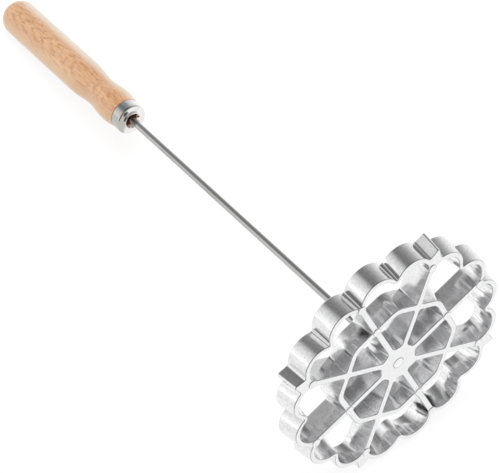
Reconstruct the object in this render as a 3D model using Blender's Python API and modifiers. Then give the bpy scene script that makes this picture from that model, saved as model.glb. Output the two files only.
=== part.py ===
"""Rosette iron: a cast aluminium flower mould on a steel rod with a turned beech handle.

The iron lies on its side, as it is laid down between two uses: on two lobes of the
mould's rear rim and on the butt of the handle. +Z is up and the handle points to +Y.
"""
import math

import bpy
import bmesh
from mathutils import Vector

MM = 0.001
MICRON = 0.000001

# Fit between neighbouring pieces
CLEARANCE = 0.3 * MM

# Mould: the open pattern of the casting, measured on its front face
SPOKE_COUNT = 8
LOBES_PER_SPOKE = 2
SPOKES_PER_FIN = 2
MOULD_DEPTH = 11.45 * MM
LOBE_RADIUS = 59.4 * MM
FIN_REACH = 2.1 * MM
FIN_HALF_WIDTH = 3.7 * MM
FIN_TIP_HALF_WIDTH = 0.6 * MM
WALL = 2.6 * MM
SPOKE_WIDTH = 3.0 * MM
RING_WIDTH = 2.9 * MM
RING_APOTHEM = 30.7 * MM
RING_BEND = 10.0 * MM
HUB_RADIUS = 9.8 * MM

# Mould: how far a lobe bulges past the chord between its notches, of half that chord
LOBE_BULGE_SHARE = 0.805
CELL_BULGE_SHARE = 0.622

# Mould: how much each side leans out from the front face to the back, so that batter slips off
RIM_FLARE = 1.44 * MM
NOTCH_FLARE = 2.3 * MM
FIN_FLARE = 1.7 * MM
FIN_WIDENING = 0.8 * MM
WALL_DRAFT = 1.3 * MM
WEB_DRAFT = 1.9 * MM

# Mould: how far each rounded corner reaches along the sides that it joins
NOTCH_ROUND = 1.9 * MM
FIN_TIP_ROUND = 0.5 * MM
FIN_ROOT_ROUND = 1.3 * MM
WALL_ROUND = 2.4 * MM
WEB_ROUND = 1.1 * MM
EDGE_ROUND = 0.5 * MM
HUB_ROUND_SHARE = 0.4

# Rod: drawn steel wire, peened over in the hub, upset behind it, with its tang in the handle
ROD_RADIUS = 1.75 * MM
ROD_HEAD_RADIUS = 3.2 * MM
ROD_HEAD_THICKNESS = 0.9 * MM
ROD_COLLAR_THICKNESS = 1.5 * MM
ROD_POINT_LENGTH = 6.0 * MM
TANG_LENGTH = 58.0 * MM

# Ferrule: a pressed steel cup over the handle's neck
FERRULE_FACE = 216.2 * MM
FERRULE_LENGTH = 6.3 * MM
FERRULE_RADIUS = 8.5 * MM
FERRULE_WALL = 0.5 * MM
FERRULE_HOLE_RADIUS = 4.4 * MM
FERRULE_ROUND = 1.3 * MM

# Handle: turned beech
HANDLE_LENGTH = 116.1 * MM
NECK_TO_BEAD = 9.2 * MM
BEAD_TO_WAIST = 13.5 * MM
WAIST_TO_GRIP = 16.5 * MM
SHOULDER_RADIUS = 8.6 * MM
BEAD_RADIUS = 9.65 * MM
WAIST_RADIUS = 8.5 * MM
GRIP_RADIUS = 9.9 * MM
BUTT_FLAT_RADIUS = 5.5 * MM
BUTT_ROUND_LENGTH = 7.1 * MM
MOUTH_RADIUS = 2.8 * MM
MOUTH_DEPTH = 6.0 * MM

# Facets
TURN_STEPS = 40
ROD_STEPS = 24
ARC_STEPS = 6
BUMP_STEPS = 3
CORNER_STEPS = 3
PROFILE_STEPS = 7

# Derived angles and radii of the mould
SPOKE_PITCH = 2.0 * math.pi / SPOKE_COUNT
LOBE_COUNT = SPOKE_COUNT * LOBES_PER_SPOKE
LOBE_PITCH = 2.0 * math.pi / LOBE_COUNT
FIRST_SPOKE = SPOKE_PITCH / 2.0
CHORD_PLACE_SHARE = math.cos(LOBE_PITCH / 2.0)
HALF_CHORD_SHARE = math.sin(LOBE_PITCH / 2.0)
NOTCH_RADIUS = LOBE_RADIUS / (CHORD_PLACE_SHARE + LOBE_BULGE_SHARE * HALF_CHORD_SHARE)
CELL_NOTCH_RADIUS = LOBE_RADIUS / (CHORD_PLACE_SHARE + CELL_BULGE_SHARE * HALF_CHORD_SHARE)
FIN_RADIUS = LOBE_RADIUS + FIN_REACH

# Derived radii of the bores, and places along the axis from the mould's front face
BORE_RADIUS = ROD_RADIUS + CLEARANCE
HEAD_SEAT_RADIUS = ROD_HEAD_RADIUS + CLEARANCE
HEAD_SEAT_DEPTH = ROD_HEAD_THICKNESS + CLEARANCE
NECK_FACE = FERRULE_FACE + FERRULE_WALL + CLEARANCE
NECK_RADIUS = FERRULE_RADIUS - FERRULE_WALL - CLEARANCE
NECK_ROUND = FERRULE_ROUND - FERRULE_WALL
SHOULDER = FERRULE_FACE + FERRULE_LENGTH + CLEARANCE
BUTT = NECK_FACE + HANDLE_LENGTH
TANG_END = NECK_FACE + TANG_LENGTH
BORE_END = TANG_END + CLEARANCE

COLOURS = {
    "mould": ((0.83, 0.83, 0.84, 1.0), 0.22, 1.0),
    "rod": ((0.56, 0.56, 0.55, 1.0), 0.3, 1.0),
    "ferrule": ((0.74, 0.75, 0.78, 1.0), 0.15, 1.0),
    "handle": ((0.66, 0.41, 0.23, 1.0), 0.55, 0.0),
}


def direction(angle):
    """Unit vector in the face plane at an angle from +X."""
    return Vector((math.cos(angle), math.sin(angle)))


def heading(vector):
    """Angle of a plane vector from +X."""
    return math.atan2(vector.y, vector.x)


def line(start, end):
    """A straight stretch of an outline: its point at each share, and its length."""
    return (lambda share: start.lerp(end, share)), (end - start).length


def arc(centre, radius, start, end, clockwise=False):
    """A round stretch of an outline between two points of a circle."""
    first = heading(start - centre)
    turn = heading(end - centre) - first
    turn = turn % (2.0 * math.pi)
    if clockwise:
        turn -= 2.0 * math.pi
    return (lambda share: centre + radius * direction(first + turn * share)), abs(turn) * radius


def outline(stretches):
    """Closed outline through stretches of (curve, steps, reach of the corner at its end).

    A corner with no reach is a smooth join. Any other one is a parabola that leaves each
    side at that reach from the corner.
    """
    points = []
    for index, ((place, length), steps, reach) in enumerate(stretches):
        start_reach = stretches[index - 1][2]
        first, last = start_reach / length, 1.0 - reach / length
        ends = steps + 1 if reach else steps
        points += [place(first + (last - first) * step / steps) for step in range(ends)]
        if reach:
            (next_place, next_length), _, _ = stretches[(index + 1) % len(stretches)]
            before, corner, after = points[-1], place(1.0), next_place(reach / next_length)
            for step in range(1, CORNER_STEPS):
                share = step / CORNER_STEPS
                points.append(before.lerp(corner, share).lerp(corner.lerp(after, share), share))
    return points


def lobe_circle(index, notch_radius, crown_radius):
    """Centre, radius and two ends of one lobe of the rim, which bulges between two notches."""
    start = notch_radius * direction(FIRST_SPOKE + index * LOBE_PITCH)
    end = notch_radius * direction(FIRST_SPOKE + (index + 1) * LOBE_PITCH)
    middle = (start + end) / 2.0
    half_chord = (end - start).length / 2.0
    bulge = crown_radius - middle.length
    radius = (half_chord ** 2 + bulge ** 2) / (2.0 * bulge)
    return middle + middle.normalized() * (bulge - radius), radius, start, end


def circle_on_side(centre, radius, along, across, offset):
    """Outer point where a circle meets the line at an offset across from a spoke's middle."""
    gap = offset - centre.dot(across)
    return across * offset + along * (centre.dot(along) + math.sqrt(radius ** 2 - gap ** 2))


def rim_outline(share):
    """Outside of the rim at a share of the depth: lobes, notches and the blunt fins."""
    notch = NOTCH_RADIUS + NOTCH_FLARE * share
    crown = LOBE_RADIUS + RIM_FLARE * share
    fin = FIN_RADIUS + FIN_FLARE * share
    half_width = FIN_HALF_WIDTH + FIN_WIDENING * share
    lobes_per_fin = LOBES_PER_SPOKE * SPOKES_PER_FIN
    stretches = []
    for index in range(LOBE_COUNT):
        centre, radius, start, end = lobe_circle(index, notch, crown)
        angle = FIRST_SPOKE + index * LOBE_PITCH
        fin_before = index % lobes_per_fin == 0
        fin_after = (index + 1) % lobes_per_fin == 0
        if fin_before:
            along = direction(angle)
            across = along.orthogonal()
            start = circle_on_side(centre, radius, along, across, half_width)
            tip_end = along * fin + across * FIN_TIP_HALF_WIDTH
            tip_start = along * fin - across * FIN_TIP_HALF_WIDTH
            stretches.append((line(tip_start, tip_end), 1, FIN_TIP_ROUND))
            stretches.append((line(tip_end, start), 1, FIN_ROOT_ROUND))
        if fin_after:
            along = direction(angle + LOBE_PITCH)
            across = -along.orthogonal()
            end = circle_on_side(centre, radius, along, across, half_width)
        last_reach = FIN_ROOT_ROUND if fin_after else NOTCH_ROUND
        stretches.append((arc(centre, radius, start, end), ARC_STEPS, last_reach))
        if fin_after:
            tip_start = along * fin + across * FIN_TIP_HALF_WIDTH
            stretches.append((line(end, tip_start), 1, FIN_TIP_ROUND))
    return outline(stretches)


def ring_corner(spoke, apothem):
    """Corner of the octagon ring's side, midway between a spoke and the next one."""
    middle = FIRST_SPOKE + (spoke + 1.0 / LOBES_PER_SPOKE) * SPOKE_PITCH
    return apothem / math.cos(SPOKE_PITCH / 2.0) * direction(middle)


def spoke_sides(spoke, half_width):
    """For the cell after a spoke: along and across vectors of its two spokes."""
    first = direction(FIRST_SPOKE + spoke * SPOKE_PITCH)
    second = direction(FIRST_SPOKE + (spoke + 1) * SPOKE_PITCH)
    return (first, first.orthogonal(), half_width), (second, -second.orthogonal(), half_width)


def outer_cell(spoke, share):
    """Opening between ring and rim: two lobes' insides, two spokes' sides and the ring."""
    wall = WALL + WALL_DRAFT * share
    half_spoke = SPOKE_WIDTH / 2.0 + WEB_DRAFT * share
    apothem = RING_APOTHEM + RING_WIDTH / 2.0 + WEB_DRAFT * share
    bend = (RING_BEND + RING_WIDTH / 2.0) * math.tan(SPOKE_PITCH / 2.0)
    (along_a, across_a, _), (along_b, across_b, _) = spoke_sides(spoke, half_spoke)
    centre_a, radius_a, _, notch = lobe_circle(
        LOBES_PER_SPOKE * spoke, CELL_NOTCH_RADIUS, LOBE_RADIUS)
    centre_b, radius_b, _, _ = lobe_circle(
        LOBES_PER_SPOKE * spoke + 1, CELL_NOTCH_RADIUS, LOBE_RADIUS)
    inside_a, inside_b = radius_a - wall, radius_b - wall
    rim_a = circle_on_side(centre_a, inside_a, along_a, across_a, half_spoke)
    rim_b = circle_on_side(centre_b, inside_b, along_b, across_b, half_spoke)
    bump_a = centre_a + (notch - centre_a).normalized() * inside_a
    bump_b = centre_b + (notch - centre_b).normalized() * inside_b
    foot_a = along_a * apothem + across_a * half_spoke
    foot_b = along_b * apothem + across_b * half_spoke
    corner = ring_corner(spoke, apothem)
    return outline([
        (line(foot_b, rim_b), 1, WALL_ROUND),
        (arc(centre_b, inside_b, rim_b, bump_b, clockwise=True), ARC_STEPS, 0.0),
        (arc(notch, wall, bump_b, bump_a), BUMP_STEPS, 0.0),
        (arc(centre_a, inside_a, bump_a, rim_a, clockwise=True), ARC_STEPS, WALL_ROUND),
        (line(rim_a, foot_a), 1, WEB_ROUND),
        (line(foot_a, corner), 1, bend),
        (line(corner, foot_b), 1, WEB_ROUND),
    ])


def inner_cell(spoke, share):
    """Opening between hub and ring: a fan with rounded corners."""
    half_spoke = SPOKE_WIDTH / 2.0 + WEB_DRAFT * share
    apothem = RING_APOTHEM - RING_WIDTH / 2.0 - WEB_DRAFT * share
    hub = HUB_RADIUS + WEB_DRAFT * share
    bend = (RING_BEND - RING_WIDTH / 2.0) * math.tan(SPOKE_PITCH / 2.0)
    (along_a, across_a, _), (along_b, across_b, _) = spoke_sides(spoke, half_spoke)
    reach = math.sqrt(hub ** 2 - half_spoke ** 2)
    hub_a = along_a * reach + across_a * half_spoke
    hub_b = along_b * reach + across_b * half_spoke
    foot_a = along_a * apothem + across_a * half_spoke
    foot_b = along_b * apothem + across_b * half_spoke
    corner = ring_corner(spoke, apothem)
    hub_side, hub_length = arc(Vector((0.0, 0.0)), hub, hub_a, hub_b)
    hub_round = HUB_ROUND_SHARE * hub_length
    return outline([
        (line(hub_b, foot_b), 1, WEB_ROUND),
        (line(foot_b, corner), 1, bend),
        (line(corner, foot_a), 1, WEB_ROUND),
        (line(foot_a, hub_a), 1, hub_round),
        ((hub_side, hub_length), 1, hub_round),
    ])


def inset(points, distance):
    """The same outline moved to its left by a distance, corner by corner."""
    moved = []
    for index, point in enumerate(points):
        before = (point - points[index - 1]).normalized()
        after = (points[(index + 1) % len(points)] - point).normalized()
        bisector = (before + after).normalized()
        moved.append(point + bisector.orthogonal() * distance / bisector.dot(after))
    return moved


def drafted_rows(shape):
    """Four outlines of a leaning side, from front to back, with its two edges broken."""
    edge = EDGE_ROUND / MOULD_DEPTH
    return [
        (inset(shape(0.0), EDGE_ROUND), 0.0),
        (shape(edge), EDGE_ROUND),
        (shape(1.0 - edge), MOULD_DEPTH - EDGE_ROUND),
        (inset(shape(1.0), EDGE_ROUND), MOULD_DEPTH),
    ]


def bore_rows():
    """The rod's stepped hole through the hub: a seat for the peened head, then the bore."""
    steps = [
        (HEAD_SEAT_RADIUS, 0.0),
        (HEAD_SEAT_RADIUS, HEAD_SEAT_DEPTH),
        (BORE_RADIUS, HEAD_SEAT_DEPTH),
        (BORE_RADIUS, MOULD_DEPTH),
    ]
    turn = -2.0 * math.pi / ROD_STEPS
    return [([radius * direction(turn * step) for step in range(ROD_STEPS)], z)
            for radius, z in steps]


def cast_mesh(name, sides):
    """A flat casting: each side is a loft through its rows, and two faces close it."""
    mesh = bmesh.new()
    front_edges, back_edges = [], []
    for rows in sides:
        rings = [[mesh.verts.new((p.x, p.y, z)) for p in points] for points, z in rows]
        for near, far in zip(rings, rings[1:]):
            for index, vert in enumerate(near):
                mesh.faces.new((vert, far[index], far[index - 1], near[index - 1]))
        for ring, edges in ((rings[0], front_edges), (rings[-1], back_edges)):
            edges += [mesh.edges.get((ring[index - 1], vert)) for index, vert in enumerate(ring)]
    for edges in (front_edges, back_edges):
        bmesh.ops.triangle_fill(mesh, use_beauty=True, use_dissolve=False, edges=edges)
    bmesh.ops.recalc_face_normals(mesh, faces=mesh.faces[:])
    data = bpy.data.meshes.new(name)
    mesh.to_mesh(data)
    mesh.free()
    return data


def turned_object(name, profile, steps, closed):
    """A turned piece: a profile of (radius, place along the axis) under a Screw modifier."""
    verts = [(radius, 0.0, z) for radius, z in profile]
    edges = [(index, index + 1) for index in range(len(verts) - 1)]
    if closed:
        edges.append((len(verts) - 1, 0))
    data = bpy.data.meshes.new(name)
    data.from_pydata(verts, edges, [])
    piece = bpy.data.objects.new(name, data)
    screw = piece.modifiers.new("turn", "SCREW")
    screw.axis = "Z"
    screw.steps = steps
    screw.render_steps = steps
    screw.use_merge_vertices = True
    screw.merge_threshold = MICRON
    screw.use_smooth_shade = True
    return piece


def round_corner(start, corner, end):
    """Parabola from one profile point to another with a corner between them, both ends in."""
    points = []
    for step in range(CORNER_STEPS + 1):
        share = step / CORNER_STEPS
        points.append(tuple((1 - share) ** 2 * a + 2 * share * (1 - share) * b + share ** 2 * c
                            for a, b, c in zip(start, corner, end)))
    return points


def swell(start, end, easing):
    """Profile stretch from one (radius, z) to another, without its first point."""
    return [(start[0] + (end[0] - start[0]) * easing(step / PROFILE_STEPS),
             start[1] + (end[1] - start[1]) * step / PROFILE_STEPS)
            for step in range(1, PROFILE_STEPS + 1)]


def smooth(share):
    """Level at both ends."""
    return (1.0 - math.cos(math.pi * share)) / 2.0


def handle_profile():
    """Butt, grip, waist, bead, shoulder, neck and the bore for the tang."""
    grip_end = BUTT - BUTT_ROUND_LENGTH
    bead = SHOULDER + NECK_TO_BEAD
    waist = bead + BEAD_TO_WAIST
    grip = waist + WAIST_TO_GRIP
    butt_round = GRIP_RADIUS - BUTT_FLAT_RADIUS
    profile = [(0.0, BUTT)]
    for step in range(PROFILE_STEPS + 1):
        angle = math.pi / 2.0 * (1.0 - step / PROFILE_STEPS)
        profile.append((BUTT_FLAT_RADIUS + butt_round * math.cos(angle),
                        grip_end + BUTT_ROUND_LENGTH * math.sin(angle)))
    profile.append((GRIP_RADIUS, grip))
    profile += swell((GRIP_RADIUS, grip), (WAIST_RADIUS, waist), smooth)
    profile += swell((WAIST_RADIUS, waist), (BEAD_RADIUS, bead), smooth)
    profile += swell((BEAD_RADIUS, bead), (SHOULDER_RADIUS, SHOULDER),
                     lambda share: 1.0 - math.cos(math.pi / 2.0 * share))
    profile.append((NECK_RADIUS, SHOULDER))
    profile += round_corner((NECK_RADIUS, NECK_FACE + NECK_ROUND), (NECK_RADIUS, NECK_FACE),
                            (NECK_RADIUS - NECK_ROUND, NECK_FACE))
    profile += [
        (MOUTH_RADIUS, NECK_FACE),
        (BORE_RADIUS, NECK_FACE + MOUTH_DEPTH),
        (BORE_RADIUS, BORE_END),
        (0.0, BORE_END),
    ]
    return profile


def ferrule_profile():
    """A thin cup with a rolled front edge and a round hole in its face."""
    rear = FERRULE_FACE + FERRULE_LENGTH
    inside = FERRULE_RADIUS - FERRULE_WALL
    inner_face = FERRULE_FACE + FERRULE_WALL
    outer = round_corner((FERRULE_RADIUS, FERRULE_FACE + FERRULE_ROUND),
                         (FERRULE_RADIUS, FERRULE_FACE),
                         (FERRULE_RADIUS - FERRULE_ROUND, FERRULE_FACE))
    inner = round_corner((inside - NECK_ROUND, inner_face), (inside, inner_face),
                         (inside, inner_face + NECK_ROUND))
    return ([(FERRULE_RADIUS, rear)] + outer
            + [(FERRULE_HOLE_RADIUS, FERRULE_FACE), (FERRULE_HOLE_RADIUS, inner_face)]
            + inner + [(inside, rear)])


def rod_profile():
    """Pointed tang, wire, upset collar, the stretch in the hub and the peened head."""
    collar = MOULD_DEPTH + CLEARANCE
    return [
        (0.0, TANG_END),
        (ROD_RADIUS, TANG_END - ROD_POINT_LENGTH),
        (ROD_RADIUS, collar + ROD_COLLAR_THICKNESS),
        (ROD_HEAD_RADIUS, collar + ROD_COLLAR_THICKNESS),
        (ROD_HEAD_RADIUS, collar),
        (ROD_RADIUS, collar),
        (ROD_RADIUS, ROD_HEAD_THICKNESS),
        (ROD_HEAD_RADIUS, ROD_HEAD_THICKNESS),
        (ROD_HEAD_RADIUS, 0.0),
        (0.0, 0.0),
    ]


def mould_object():
    """The casting: rim, spokes, ring and hub in one piece."""
    sides = [drafted_rows(rim_outline), bore_rows()]
    for spoke in range(SPOKE_COUNT):
        sides.append(drafted_rows(lambda share, spoke=spoke: outer_cell(spoke, share)))
        sides.append(drafted_rows(lambda share, spoke=spoke: inner_cell(spoke, share)))
    return bpy.data.objects.new("mould", cast_mesh("mould", sides))


def finish(piece):
    """Give a piece its own material."""
    colour, roughness, metallic = COLOURS[piece.name]
    material = bpy.data.materials.new(piece.name)
    material.use_nodes = True
    shader = material.node_tree.nodes["Principled BSDF"]
    shader.inputs["Base Color"].default_value = colour
    shader.inputs["Roughness"].default_value = roughness
    shader.inputs["Metallic"].default_value = metallic
    piece.data.materials.append(material)


def resting_tilt():
    """Slope of the axis when the rear rim's lobes and the butt touch one level surface."""
    share = 1.0 - EDGE_ROUND / MOULD_DEPTH
    drop = max(-point.y for point in rim_outline(share))
    place = MOULD_DEPTH - EDGE_ROUND
    return min(math.atan2(drop - radius, z - place)
               for radius, z in handle_profile() if z > SHOULDER + CLEARANCE)


def world_corners(pieces):
    """Lowest and highest corners of the pieces, as the viewport shows them."""
    bpy.context.view_layer.update()
    graph = bpy.context.evaluated_depsgraph_get()
    points = []
    for piece in pieces:
        shown = piece.evaluated_get(graph)
        mesh = shown.to_mesh()
        points += [shown.matrix_world @ vert.co for vert in mesh.vertices]
        shown.to_mesh_clear()
    low = Vector([min(point[axis] for point in points) for axis in range(3)])
    high = Vector([max(point[axis] for point in points) for axis in range(3)])
    return low, high


def build():
    for existing in list(bpy.data.objects):
        bpy.data.objects.remove(existing, do_unlink=True)
    collection = bpy.data.collections.new("rosette_iron")
    bpy.context.scene.collection.children.link(collection)

    pieces = [
        mould_object(),
        turned_object("rod", rod_profile(), ROD_STEPS, closed=False),
        turned_object("ferrule", ferrule_profile(), TURN_STEPS, closed=True),
        turned_object("handle", handle_profile(), TURN_STEPS, closed=False),
    ]
    axis = bpy.data.objects.new("iron_axis", None)
    collection.objects.link(axis)
    for piece in pieces:
        collection.objects.link(piece)
        piece.parent = axis
        finish(piece)

    # The axis runs from the front face to +Y and falls towards the butt
    axis.rotation_euler = (math.pi / 2.0 + resting_tilt(), 0.0, math.pi)
    low, high = world_corners(pieces)
    axis.location = (-(low.x + high.x) / 2.0, -(low.y + high.y) / 2.0, -low.z)


build()
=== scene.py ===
# %% [markdown]
# # Rosette iron: looks
# A cast aluminium flower mould on a steel rod, with a steel ferrule and a turned beech
# handle. The imported CAD model is the fixed frame. Each visible piece is worked out here
# again with finer rounds, and the CAD piece that it stands for is hidden.

# %% Load the frame
import math

import bmesh
import bpy
import numpy as np
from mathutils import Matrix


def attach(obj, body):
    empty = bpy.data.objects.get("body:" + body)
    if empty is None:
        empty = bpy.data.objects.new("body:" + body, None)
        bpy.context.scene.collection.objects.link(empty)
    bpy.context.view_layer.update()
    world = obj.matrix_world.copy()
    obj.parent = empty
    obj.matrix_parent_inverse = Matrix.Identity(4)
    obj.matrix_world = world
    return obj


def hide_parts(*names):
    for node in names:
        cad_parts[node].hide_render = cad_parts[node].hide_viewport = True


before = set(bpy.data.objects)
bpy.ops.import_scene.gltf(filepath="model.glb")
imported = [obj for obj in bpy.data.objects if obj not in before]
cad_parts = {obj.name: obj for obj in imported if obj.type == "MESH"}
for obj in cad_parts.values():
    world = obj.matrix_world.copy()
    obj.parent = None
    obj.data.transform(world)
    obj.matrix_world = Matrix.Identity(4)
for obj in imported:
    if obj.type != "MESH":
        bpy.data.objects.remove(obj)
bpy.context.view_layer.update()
print("CAD pieces:", sorted(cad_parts))

# %% [markdown]
# The iron was drawn standing on its front face, with its axis along +Z. It lies on its
# side here: the axis falls a little from the mould to the butt of the handle. The CAD rod
# says how much. It is long and thin, and its points lie evenly round its axis, so the axis
# is the direction in which they spread most, through their middle. One turn and one move
# then take every point from the iron's own axes to the places of the CAD pieces. They are
# written into the meshes, so that each object stays at the origin.

# %% The iron's own axes
MM = 0.001
SAME_POINT_DIGITS = 7


def node_points(name):
    """The points of a CAD piece, each one once."""
    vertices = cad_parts[name].data.vertices
    found = np.empty(3 * len(vertices), np.float32)
    vertices.foreach_get("co", found)
    return np.unique(found.astype(float).reshape(-1, 3).round(SAME_POINT_DIGITS), axis=0)


rod_points = node_points("rod")
rod_middle = rod_points.mean(0)
to_butt = np.linalg.svd(rod_points - rod_middle, full_matrices=False)[2][0]
to_butt *= np.sign(to_butt[1])
SLOPE = math.atan2(-to_butt[2], to_butt[1])
FACE_CENTRE = rod_middle + to_butt * ((node_points("mould") - rod_middle) @ to_butt).min()
OWN_TO_ROW = np.array([
    [-1.0, 0.0, 0.0],
    [0.0, math.sin(SLOPE), math.cos(SLOPE)],
    [0.0, math.cos(SLOPE), -math.sin(SLOPE)],
])
OWN_TURN = (math.pi / 2.0 + SLOPE, 0.0, math.pi)


def lay_down(points):
    """Row frame = turn x own point + middle of the mould's front face."""
    return points @ OWN_TO_ROW.T + FACE_CENTRE


print("slope:", round(math.degrees(SLOPE), 3), "degrees, front face at", FACE_CENTRE.round(5))

# %% [markdown]
# The photograph looks down on the front face from the left of the mould, through a long
# lens. Its place was worked out from the mould's outline and the rod, so the picture's
# middle is the sensor's middle and nothing is shifted.

# %% Camera
CAMERA_PLACE = (-0.37244, -0.51362, 0.79304)
CAMERA_TURN = (38.1701, -1.8416, -36.3487)
LENS = 142.6436
SENSOR_WIDTH = 36.0
FARTHEST_SEEN = 100.0

camera = bpy.data.objects.new("photo_camera", bpy.data.cameras.new("photo_camera"))
bpy.context.scene.collection.objects.link(camera)
camera.location = CAMERA_PLACE
camera.rotation_euler = [math.radians(turn) for turn in CAMERA_TURN]
camera.data.lens = LENS
camera.data.sensor_width = SENSOR_WIDTH
camera.data.clip_end = FARTHEST_SEEN
bpy.context.scene.camera = camera
backwards = camera.rotation_euler.to_matrix().col[2]
print("camera looks along", [round(-part, 3) for part in backwards])

# %% [markdown]
# Polished metal shows the room more than itself, so the room matters here. It is a plain
# white studio: bright round the horizon, dimmer overhead, with one wide soft light low on
# the left. Whoever holds the camera stands dark in front of the wall, and the casting's
# rounded edges mirror some of that. A picture of a room could light the iron too, but a
# few ramps over direction in the world's shader say the same and need no picture.

# %% Small helpers for shader nodes
def node(tree, kind, inputs=None, **settings):
    """One shader node. Settings are its properties; an input is a value or a socket."""
    made = tree.nodes.new("ShaderNode" + kind)
    for name, value in settings.items():
        setattr(made, name, value)
    for name, value in (inputs or {}).items():
        socket = made.inputs[name]
        if isinstance(value, bpy.types.NodeSocket):
            tree.links.new(value, socket)
        else:
            socket.default_value = value
    return made


def ramp(tree, value, low, high, start=0.0, end=1.0, smooth=True):
    """Value taken from the range low..high to start..end, eased at both ends."""
    kind = "SMOOTHSTEP" if smooth else "LINEAR"
    made = node(tree, "MapRange", {"Value": value, "From Min": low, "From Max": high,
                                   "To Min": start, "To Max": end}, interpolation_type=kind)
    return made.outputs["Result"]


def maths(tree, operation, *values, clamp=False):
    """One sum on numbers or sockets."""
    made = node(tree, "Math", dict(enumerate(values)), operation=operation, use_clamp=clamp)
    return made.outputs["Value"]


def reach_along(tree, vector, direction):
    """How far a vector reaches in a direction: their dot product."""
    made = node(tree, "VectorMath", {0: vector, 1: direction}, operation="DOT_PRODUCT")
    return made.outputs["Value"]


def off_axis(tree, x, y):
    """Distance from an axis: the root of x^2 + y^2."""
    return maths(tree, "SQRT", maths(tree, "ADD", maths(tree, "MULTIPLY", x, x),
                                     maths(tree, "MULTIPLY", y, y)))


# %% Studio walls
WHITE = (1.0, 1.0, 1.0, 1.0)
HORIZON_LIGHT = 0.92
OVERHEAD_LIGHT = 0.11
SOFT_LIGHT = 0.40
SOFT_LIGHT_FROM = (-0.8713, 0.3171, 0.3746)
ONLOOKER = (-0.659, -0.732, 0.174)
ONLOOKER_SHADE = 0.8

# Where each part begins and is full: the sine of a height, and cosines of an angle away
DIMS_ABOVE = 0.087
SOFT_LIGHT_RIM, SOFT_LIGHT_HEART = 0.574, 0.906
ONLOOKER_RIM, ONLOOKER_HEART = 0.80, 0.97

world = bpy.data.worlds.new("white_studio")
world.use_nodes = True
bpy.context.scene.world = world
sky = world.node_tree
sky.nodes.clear()
way = node(sky, "TexCoord").outputs["Generated"]
height = node(sky, "SeparateXYZ", {0: way}).outputs["Z"]
walls = ramp(sky, height, DIMS_ABOVE, 1.0, HORIZON_LIGHT, OVERHEAD_LIGHT, smooth=False)
soft = ramp(sky, reach_along(sky, way, SOFT_LIGHT_FROM), SOFT_LIGHT_RIM, SOFT_LIGHT_HEART,
            0.0, SOFT_LIGHT)
shaded = ramp(sky, reach_along(sky, way, ONLOOKER), ONLOOKER_RIM, ONLOOKER_HEART,
              1.0, 1.0 - ONLOOKER_SHADE)
room = maths(sky, "MULTIPLY", maths(sky, "ADD", walls, soft), shaded)
seen = node(sky, "LightPath").outputs["Is Camera Ray"]
level = node(sky, "Mix", {"Factor": seen, "A": room, "B": 1.0}, data_type="FLOAT")
glow = node(sky, "Background", {"Color": WHITE, "Strength": level.outputs["Result"]})
node(sky, "OutputWorld", {"Surface": glow.outputs["Background"]})
print("world nodes:", len(sky.nodes))

# %% [markdown]
# The floor is plain and pale. It takes the iron's shadow, and it also glows for the camera
# and for reflections, as an overlit white sweep does. Where the onlooker stands, it is
# darker in reflections. One large lamp overhead gives the wood its form. It is hidden from
# reflections, because the room's own gradient already says what the metal shows.

# %% Floor and overhead lamp
FLOOR_HALF = 6.0
FLOOR_GLOW = 1.11
FLOOR_GLOW_SHARE = 0.78
FLOOR_COLOUR = (0.8, 0.8, 0.8, 1.0)
ONLOOKER_NEAR = 0.15
ONLOOKER_FAR = 0.45
LAMP_SIDE = 1.5
LAMP_HEIGHT = 1.8
LAMP_WATTS = 22.0

floor_mesh = bpy.data.meshes.new("floor")
corners = np.array([[-1, -1, 0], [1, -1, 0], [1, 1, 0], [-1, 1, 0]]) * FLOOR_HALF
floor_mesh.from_pydata(corners.tolist(), [], [(0, 1, 2, 3)])
floor = bpy.data.objects.new("floor", floor_mesh)
bpy.context.scene.collection.objects.link(floor)

sweep = bpy.data.materials.new("white_sweep")
sweep.use_nodes = True
tree = sweep.node_tree
tree.nodes.clear()
path = node(tree, "LightPath").outputs
seen = maths(tree, "ADD", path["Is Camera Ray"], path["Is Glossy Ray"])
seen = maths(tree, "ADD", seen, path["Is Transmission Ray"], clamp=True)
spot = node(tree, "NewGeometry").outputs["Position"]
away = node(tree, "VectorMath", {0: spot}, operation="LENGTH").outputs["Value"]
bearing = node(tree, "VectorMath", {0: spot}, operation="NORMALIZE").outputs[0]
in_shade = ramp(tree, reach_along(tree, bearing, ONLOOKER), ONLOOKER_RIM, ONLOOKER_HEART,
                0.0, ONLOOKER_SHADE)
in_shade = maths(tree, "MULTIPLY", in_shade, ramp(tree, away, ONLOOKER_NEAR, ONLOOKER_FAR))
in_shade = maths(tree, "MULTIPLY", in_shade, path["Is Glossy Ray"])
strength = maths(tree, "MULTIPLY", maths(tree, "SUBTRACT", 1.0, in_shade), FLOOR_GLOW)
glow = node(tree, "Emission", {"Color": WHITE, "Strength": strength})
matte = node(tree, "BsdfDiffuse", {"Color": FLOOR_COLOUR})
both = node(tree, "MixShader", {0: maths(tree, "MULTIPLY", seen, FLOOR_GLOW_SHARE),
                                1: matte.outputs[0], 2: glow.outputs[0]})
node(tree, "OutputMaterial", {"Surface": both.outputs[0]})
floor_mesh.materials.append(sweep)

lamp = bpy.data.objects.new("overhead", bpy.data.lights.new("overhead", "AREA"))
lamp.data.size = LAMP_SIDE
lamp.data.energy = LAMP_WATTS
lamp.location = (0.0, 0.0, LAMP_HEIGHT)
lamp.visible_glossy = False
bpy.context.scene.collection.objects.link(lamp)
print("floor", 2.0 * FLOOR_HALF, "m across, lamp", lamp.data.energy, "W")

# %% [markdown]
# Every piece below is a grid: whole arrays of points, and the faces between neighbours.
# Boolean cuts and bevels could give the same forms, but they leave long thin faces at the
# corners, and polished metal shows every one. So the normals are worked out with the
# points, too, instead of from the faces. A point where a turned profile meets the axis is
# a pole, and all of its copies are made one.

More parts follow.
